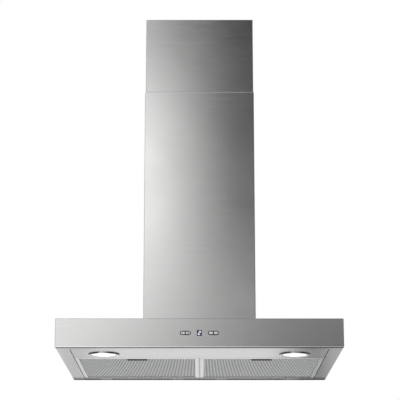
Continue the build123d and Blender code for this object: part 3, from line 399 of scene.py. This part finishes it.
def digit_lit(name):
    """Lit bars: pale violet with a faint unevenness of the glow."""
    m = Maker(name)
    patch = m.noise(900, 2.0)
    return m.set(
        Base_Color=rgba(0.55, 0.54, 0.65),
        Roughness=m.spread(patch, 0.3, 0.4),
        Emission_Color=m.tones(patch, rgba(0.80, 0.78, 0.95), 0.06),
        Emission_Strength=0.8,
    )


def board(name, color):
    """Circuit board: solder mask over thin copper runs, with pads."""
    m = Maker(name)
    run = m.math("LESS_THAN", m.cells((160, 160, 260), feature="DISTANCE_TO_EDGE"), 0.06)
    pads = m.math("LESS_THAN", m.cells(220), 0.14)
    copper = [min(1.0, channel * 2.2) for channel in color[:3]] + [1.0]
    return m.set(
        Base_Color=m.mix(pads, m.mix(run, color, copper), rgba(0.75, 0.72, 0.62)),
        Roughness=m.mix(pads, 0.38, 0.22, "FLOAT"),
        Metallic=m.mix(pads, 0.0, 0.9, "FLOAT"),
        Normal=m.bump(m.math("ADD", run, pads), 0.3, 0.05 * MM),
    )


def key_face(name, center, mark, twin):
    """Satin key with one plain mark in its middle, and painted shade along the edge at its twin,
    where the keys split.
    """
    long_half, flat_half, tall_half, thin_half = 1.5 * MM, 0.5 * MM, 1.8 * MM, 0.6 * MM
    dot_radius = 1.6 * MM
    split_shade_half = 1.3 * MM
    faint = 0.4
    m = Maker(name)
    x, _, z = m.split(m.position)
    across, up = m.away(x, center.x), m.away(z, center.z)

    def stroke(half_across, half_up):
        return m.times(m.math("LESS_THAN", across, half_across), m.math("LESS_THAN", up, half_up))

    if mark == "bar":
        inside = stroke(thin_half, tall_half)
    elif mark == "dot":
        inside = m.math("LESS_THAN", m.length(across, up), dot_radius)
    elif mark == "dash":
        inside = m.times(stroke(long_half, flat_half), faint)
    else:
        cross = m.math("MAXIMUM", stroke(long_half, flat_half), stroke(thin_half, tall_half))
        inside = m.times(cross, faint)
    # Painted shade along the split between the twin keys
    inside = m.math("MAXIMUM", inside, m.math("LESS_THAN", m.away(x, twin), split_shade_half))
    satin = m.noise(2600, 2.0)
    face = m.tones(satin, rgba(0.78, 0.78, 0.79), 0.04)
    return m.set(
        Base_Color=m.mix(inside, face, rgba(0.05, 0.05, 0.055)),
        Roughness=m.spread(satin, 0.24, 0.32),
        Metallic=0.35,
        Coat_Weight=0.3,
        Normal=m.bump(satin, 0.08, 0.02 * MM),
    )


def capacitor_shell(name):
    """White moulded can, a little uneven in tone."""
    m = Maker(name)
    fine = m.noise(1600, 2.0)
    return m.set(
        Base_Color=m.tones(m.noise(25), rgba(0.82, 0.82, 0.79), 0.06),
        Roughness=m.spread(fine, 0.35, 0.5),
        Normal=m.bump(fine, 0.1, 0.04 * MM),
    )


def dress(names, material):
    """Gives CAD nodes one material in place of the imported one."""
    for name in names:
        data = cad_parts[name].data
        data.materials.clear()
        data.materials.append(material)


def sided(*stems):
    return [f"{stem}_{side}" for stem in stems for side in SIDES]


# Steel sheets
steel = rgba(0.60, 0.60, 0.595)
canopy_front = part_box("canopy_shell")[0].y
split_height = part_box("chimney_lower")[1].z
dress(["canopy_shell"], brushed("brushed_canopy", steel, 0.18, 0.7, folds=canopy_front))
dress(["lamp_panel"], brushed("brushed_panel", steel, 0.20, 0.4))
lower_steel = brushed("brushed_chimney_lower", steel, 0.15, 0.8, lip=split_height - 0.4 * MM)
dress(["chimney_lower"], lower_steel)
dress(["chimney_upper"], brushed("brushed_chimney_upper", steel, 0.15, 0.8, streaks=0.04))
zinc_sheet = galvanised("galvanised_sheet", rgba(0.50, 0.52, 0.54), rgba(0.66, 0.68, 0.70))
# A darker copy of the galvanised sheet: painted shade for the back panel, whose inside shows
# through the rear gap
shaded_zinc_sheet = galvanised("shaded_zinc_sheet", rgba(0.32, 0.33, 0.34), rgba(0.42, 0.43, 0.44))
dress(["chimney_foot", "upper_bracket", "blower_box", "blower_lid", "motor_bracket"], zinc_sheet)
dress(["canopy_back"], shaded_zinc_sheet)

# Lamps
# How far past the lens the painted shade at each end of the ring lies
shade_past_lens = 2.6 * MM
for side in SIDES:
    low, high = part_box(f"lamp_lens_{side}")
    center = (low + high) / 2
    radius = (high.x - low.x) / 2
    ring = ring_nickel(f"ring_nickel_{side}", center, radius + shade_past_lens)
    dress([f"lamp_ring_{side}"], ring)
    dress([f"lamp_lens_{side}"], lens(f"lens_{side}", center, radius))
dress(sided("lamp_cup"), metal("cast_cup", rgba(0.58, 0.59, 0.60), 0.45, 700, 0.08, 0.2))
dress(sided("lamp_module"), board("lamp_board", rgba(0.82, 0.82, 0.78)))

# Filters and latches
rim_low, rim_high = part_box("filter_frame_left")
rim_color = rgba(0.74, 0.745, 0.75)
column = 3.37 * MM
mesh_metal = strand_metal("filter_strands", rgba(0.53, 0.535, 0.54), 0.33, column)
rim_metal = metal("filter_rim", rim_color, 0.30, (300, 24, 300), 0.05, rear=rim_high.y)
dress(sided("filter_frame"), rim_metal)
dress(sided("filter_mesh"), mesh_metal)
dress(sided("latch_cup"), plastic("cup_plastic", rgba(0.085, 0.085, 0.09), 0.5))
dress(sided("latch_slide"), plastic("latch_plastic", rgba(0.055, 0.055, 0.06), 0.46))

# Controls
dress(["control_board"], board("control_board", rgba(0.03, 0.16, 0.07)))
dress(["control_tray"], plastic("tray_plastic", rgba(0.06, 0.06, 0.065), 0.55))
dress(["display_module"], plastic("module_plastic", rgba(0.04, 0.04, 0.045), 0.5))
dress(["display_window"], display("display_window", *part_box("display_window")))
dress(["display_digit"], digit_lit("display_digit"))
dress(sided("key_bezel"), plastic("bezel_plastic", rgba(0.018, 0.018, 0.02), 0.5, specular=0.2))
key_marks = {"left": {"outer": "bar", "inner": "dot"}, "right": {"inner": "dash", "outer": "cross"}}
for side in SIDES:
    bezel_low, bezel_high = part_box(f"key_bezel_{side}")
    twin = (bezel_low.x + bezel_high.x) / 2
    for place, mark in key_marks[side].items():
        name = f"key_{side}_{place}"
        low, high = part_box(name)
        dress([name], key_face(name, (low + high) / 2, mark, twin))

# Blower, cases and small parts
scroll_plastic = plastic("scroll_plastic", rgba(0.13, 0.14, 0.15), 0.52, 900)
wheel_plastic = plastic("wheel_plastic", rgba(0.20, 0.21, 0.225), 0.48, 1200)
motor_enamel = metal("motor_enamel", rgba(0.075, 0.075, 0.08), 0.38, 500, 0.12, 0.25, 0.3)
ground_steel = metal("ground_steel", rgba(0.56, 0.56, 0.57), 0.22, (2200, 60, 60))
spring_steel = metal("spring_steel", rgba(0.48, 0.48, 0.49), 0.3, (900, 900, 60))
zinc_screw = metal("zinc_screw", rgba(0.62, 0.62, 0.58), 0.34, 1500, 0.1, 0.2)
box_plastic = plastic("box_plastic", rgba(0.72, 0.72, 0.70), 0.5, 1300)
grommet_rubber = plastic("grommet_rubber", rgba(0.03, 0.03, 0.03), 0.62, 900, 0.25, 0.3)
dress(["scroll_left", "scroll_right", "outlet_collar"], scroll_plastic)
dress(["impeller", "flap_front", "flap_rear"], wheel_plastic)
dress(["motor"], motor_enamel)
dress(["motor_shaft", "flap_pin"], ground_steel)
dress(["lamp_clips"] + sided("latch_spring"), spring_steel)
dress(["panel_screws", "blower_screws", "collar_screws"], zinc_screw)
dress(["terminal_box", "terminal_lid", "power_box", "lamp_driver"], box_plastic)
dress(["cable_gland"], plastic("gland_plastic", rgba(0.045, 0.045, 0.05), 0.45))
dress(["capacitor"], capacitor_shell("capacitor_shell"))
dress(["supply_lead"], plastic("lead_sheath", rgba(0.66, 0.66, 0.64), 0.42, 700, 0.1))
dress(["lead_grommet"], grommet_rubber)


def piece(name, vertices, faces, material, body):
    """A mesh object from plain lists, riding on a CAD body."""
    data = bpy.data.meshes.new(name)
    data.from_pydata([tuple(v) for v in vertices], [], [tuple(f) for f in faces])
    data.validate()
    data.materials.append(material)
    made = bpy.data.objects.new(name, data)
    bpy.context.scene.collection.objects.link(made)
    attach(made, body)
    return made


def expanded_mesh(x_range, y_range, z, pitch, strand, lift, keep_out):
    """One layer of expanded metal: diamond openings in staggered rows, strands turned by lift.

    pitch and strand are across and along; keep_out is a left, a right and a rear border
    inside which no opening is made.
    """
    half_x, half_y = pitch[0] / 2, pitch[1] / 2
    column_highlight = int((x_range[1] - x_range[0]) / half_x) - 1
    rows = int((y_range[1] - y_range[0]) / half_y) - 1
    start_x = (x_range[0] + x_range[1] - column_highlight * half_x) / 2
    start_y = (y_range[0] + y_range[1] - rows * half_y) / 2
    reach_x, reach_y = half_x - strand[0], half_y - strand[1]
    vertices, faces, knots = [], [], {}

    def knot(column, row):
        if (column, row) not in knots:
            knots[column, row] = len(vertices)
            vertices.append((start_x + column * half_x, start_y + row * half_y, z))
        return knots[column, row]

    for row, column in product(range(1, rows), range(1, column_highlight)):
        if (row + column) % 2:
            continue
        x, y = start_x + column * half_x, start_y + row * half_y
        if keep_out[0] < x < keep_out[1] and y < keep_out[2]:
            continue
        around = ((column - 1, row), (column, row - 1), (column + 1, row), (column, row + 1))
        ring = [knot(*place) for place in around]
        first = len(vertices)
        vertices += [(x - reach_x, y, z), (x, y - reach_y, z - lift)]
        vertices += [(x + reach_x, y, z), (x, y + reach_y, z + lift)]
        for i in range(4):
            j = (i + 1) % 4
            faces.append((ring[i], ring[j], first + j, first + i))
    return vertices, faces


def thicken(made, depth):
    """Gives a sheet its thickness upwards and applies it."""
    modifier = made.modifiers.new("thickness", "SOLIDIFY")
    modifier.thickness = depth
    modifier.offset = 1.0
    with bpy.context.temp_override(object=made, active_object=made, selected_objects=[made]):
        bpy.ops.object.modifier_apply(modifier=modifier.name)


def filter_strands(side):
    """Three layers of expanded metal in the place of a filter's plain sheet."""
    low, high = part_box(f"filter_mesh_{side}")
    cup_low, cup_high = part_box(f"latch_cup_{side}")
    keep_out = (cup_low.x - 2.2 * MM, cup_high.x + 2.2 * MM, cup_high.y + 2.5 * MM)
    long_pitch, wide_strand, narrow_strand = 6.4 * MM, 0.85 * MM, 0.42 * MM
    # Height, then pitch and strand across and along, then lift
    layers = (
        (low.z + 0.25 * MM, (2 * column, 5.2 * MM), (0.62 * MM, 0.62 * MM), 0.22 * MM),
        (low.z + 2.3 * MM, (long_pitch, column), (wide_strand, narrow_strand), 0.25 * MM),
        (high.z - 1.2 * MM, (column, long_pitch), (narrow_strand, wide_strand), 0.22 * MM),
    )
    vertices, faces = [], []
    for layer in layers:
        some, more = expanded_mesh((low.x, high.x), (low.y, high.y), *layer, keep_out)
        faces += [[index + len(vertices) for index in face] for face in more]
        vertices += some
    name, body = f"filter_strands_{side}", f"filter_{side}"
    sheet = piece(name, vertices, faces, mesh_metal, body)
    thicken(sheet, 0.4 * MM)
    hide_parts(f"filter_mesh_{side}")


def filter_seal():
    """A flat rubber strip on the left filter that closes the gap to the right one."""
    x_range = (rim_high.x, -rim_high.x - 0.5 * MM)
    y_range = (rim_low.y + 1.0 * MM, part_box("filter_mesh_left")[1].y)
    z_range = (0.4 * MM, 3.0 * MM)
    corners = list(product(x_range, y_range, z_range))
    faces = [(0, 1, 3, 2), (4, 6, 7, 5), (0, 4, 5, 1), (2, 3, 7, 6), (0, 2, 6, 4), (1, 5, 7, 3)]
    rubber = plastic("seal_rubber", rgba(0.62, 0.62, 0.61), 0.5, 900, 0.1)
    piece("filter_seal", corners, faces, rubber, "filter_left")


def mouth_plate():
    """A plate under the casing's lid that closes its hole round the scroll's mouth."""
    play = 0.3 * MM
    mouth_half = (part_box("scroll_right")[1].x, 58.0 * MM)
    outer = (80.0 * MM, 79.0 * MM)
    inner = (mouth_half[0] + play, mouth_half[1] + play)
    lid_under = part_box("blower_lid")[0].z
    collar_low, collar_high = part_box("outlet_collar")
    middle = (collar_low.y + collar_high.y) / 2
    turns = ((-1, -1), (1, -1), (1, 1), (-1, 1))
    vertices, faces = [], []
    for z in (lid_under - 3.2 * MM, lid_under - 1.2 * MM):
        for half_x, half_y in (outer, inner):
            vertices += [(x * half_x, middle + y * half_y, z) for x, y in turns]
    for i in range(4):
        j = (i + 1) % 4
        faces += [(i, 4 + i, 4 + j, j), (8 + i, 8 + j, 12 + j, 12 + i)]
        faces += [(i, j, 8 + j, 8 + i), (4 + i, 12 + i, 12 + j, 4 + j)]
    piece("mouth_plate", vertices, faces, zinc_sheet, "root")


for side in SIDES:
    filter_strands(side)
filter_seal()
mouth_plate()


def floor_paint(name, color):
    m = Maker(name)
    return m.set(
        Base_Color=m.tones(m.noise(3, 2.0), color, 0.01), Roughness=0.9, Specular_IOR_Level=0.2
    )


def quad(name, center, size, turn, material, seen=True):
    """A flat rectangle; turn is its rotation in degrees from lying flat."""
    x, y = size[0] / 2, size[1] / 2
    data = bpy.data.meshes.new(name)
    data.from_pydata([(-x, -y, 0), (x, -y, 0), (x, y, 0), (-x, y, 0)], [], [(0, 1, 2, 3)])
    data.materials.append(material)
    made = bpy.data.objects.new(name, data)
    made.location = center
    made.rotation_euler = [math.radians(angle) for angle in turn]
    made.visible_camera = seen
    bpy.context.scene.collection.objects.link(made)
    return made


def softbox(name, center, target, size, power):
    """A soft rectangular lamp aimed at a point."""
    data = bpy.data.lights.new(name, "AREA")
    data.shape = "RECTANGLE"
    data.size, data.size_y = size
    data.energy = power
    made = bpy.data.objects.new(name, data)
    made.location = center
    aim = Vector(target) - Vector(center)
    made.rotation_euler = aim.to_track_quat("-Z", "Y").to_euler()
    bpy.context.scene.collection.objects.link(made)


def lit_cloth(m, strength):
    """Sets a material that only gives light, of the given strength."""
    return m.set(
        Base_Color=rgba(0.02),
        Roughness=1.0,
        Specular_IOR_Level=0.0,
        Emission_Color=rgba(1.0),
        Emission_Strength=strength,
    )


def scrim(name, height, left, right, wide, shift):
    """A lit cloth that fades from left to right.

    Its two levels, the fade's width and the fade's place follow its height by (place, value)
    stops. Far aside it has one even level.
    """
    aside_level, aside_start, aside_end = 0.6, 1.3, 2.6
    m = Maker(name)
    x, y = list(m.split(m.position))[:2]
    up = m.spread(y, 0.0, 1.0, start=-height / 2, end=height / 2)
    left, right, wide, shift = [m.ramp(up, stops) for stops in (left, right, wide, shift)]
    across = m.math("DIVIDE", m.math("ADD", x, shift), m.times(wide, 2.0))
    share = m.spread(across, 0.0, 1.0, start=-0.5, end=0.5)
    cubic = m.math("SUBTRACT", 3.0, m.times(share, 2.0))
    ease = m.times(m.math("POWER", share, 2.0), cubic)
    light = m.math("ADD", left, m.times(ease, m.math("SUBTRACT", right, left)))
    aside = m.spread(m.math("ABSOLUTE", x), 0.0, 1.0, start=aside_start, end=aside_end)
    return lit_cloth(m, m.mix(aside, light, aside_level, "FLOAT"))


def banded(name, width, stops):
    """A lit cloth whose level follows stops from its left to its right."""
    m = Maker(name)
    x = m.split(m.position)[0]
    across = m.spread(x, 0.0, 1.0, start=-width / 2, end=width / 2)
    return lit_cloth(m, m.ramp(across, stops))


def level(value):
    """Stops of one even level."""
    return ((0.0, value), (1.0, value))


# Stage: a floor, and three cloths that only the steel's reflections show
floor_z = -1.55
quad("floor", (0, 0, floor_z), (120, 120), (0, 0, 0), floor_paint("floor_paint", rgba(0.86)))

front_cloth = scrim(
    "front_cloth",
    7,
    left=(
        (0.285, 1.93), (0.305, 1.42), (0.33, 1.17), (0.40, 2.1),
        (0.46, 2.15), (0.51, 1.2), (0.56, 0.3), (0.9, 2.2),
    ),
    right=(
        (0.285, 0.10), (0.305, 0.90), (0.35, 0.15), (0.43, 0.16),
        (0.50, 0.09), (0.56, 0.02), (0.9, 0.02),
    ),
    wide=((0.285, 1.6), (0.305, 0.66), (0.35, 0.44), (0.43, 0.38), (0.50, 0.43), (0.56, 0.38)),
    shift=((0.285, 1.0), (0.305, 0.1), (0.35, 0.38), (0.43, 0.37), (0.50, 0.43), (0.56, 0.33)),
)
quad("front_scrim", (0.25, -5.5, 2.4), (9, 7), (90, 0, 0), front_cloth, seen=False)

low_size = (4, 2.4)
low_cloth = scrim("low_cloth", low_size[1], level(2.0), level(0.35), level(0.8), level(0.0))
low_card = quad("low_scrim", (0, -1.8, floor_z + 0.05), low_size, (0, 0, 0), low_cloth, seen=False)

rear_size = (7, 1.5)
rear_bands = (
    (0.40, 0.90), (0.424, 0.64), (0.442, 0.89), (0.54, 0.90), (0.572, 0.24), (0.585, 0.52)
)
rear_cloth = banded("rear_cloth", rear_size[0], rear_bands)
rear_card = quad("rear_scrim", (0, 3.0, -0.75), rear_size, (90, 0, 0), rear_cloth, seen=False)
for card in (low_card, rear_card):
    card.visible_diffuse = False
    card.visible_shadow = False

softbox("key_high", (-2.6, -2.2, 3.6), (0, -0.3, 0.3), (2.2, 2.2), 110)


def white_backdrop(dim):
    """A world that lights the object at the level dim and shows white behind it."""
    world = bpy.data.worlds.new("studio")
    world.use_nodes = True
    tree = world.node_tree
    path = tree.nodes.new("ShaderNodeLightPath")
    direct = path.outputs["Is Camera Ray"]
    for name in ("Is Glossy Ray", "Is Transmission Ray"):
        either = tree.nodes.new("ShaderNodeMath")
        either.operation = "MAXIMUM"
        tree.links.new(direct, either.inputs[0])
        tree.links.new(path.outputs[name], either.inputs[1])
        direct = either.outputs[0]
    mixer = tree.nodes.new("ShaderNodeMixShader")
    tree.links.new(direct, mixer.inputs[0])
    lighting, backdrop = tree.nodes["Background"], tree.nodes.new("ShaderNodeBackground")
    for place, (source, strength) in enumerate(((lighting, dim), (backdrop, 1.0)), start=1):
        source.inputs["Color"].default_value = rgba(1.0)
        source.inputs["Strength"].default_value = strength
        tree.links.new(source.outputs[0], mixer.inputs[place])
    tree.links.new(mixer.outputs[0], tree.nodes["World Output"].inputs["Surface"])
    return world


scene = bpy.context.scene
scene.world = white_backdrop(0.65)
scene.view_settings.view_transform = "Standard"

# Camera: low in front of the hood, looking up
camera_pitch = 14.252
camera_data = bpy.data.cameras.new("camera")
camera_data.lens = 140.4
camera_data.sensor_width = 36.0
camera = bpy.data.objects.new("camera", camera_data)
camera.location = (0.0013, -3.6943, -0.4973)
camera.rotation_euler = (math.radians(90 + camera_pitch), 0, 0)
scene.collection.objects.link(camera)
scene.camera = camera
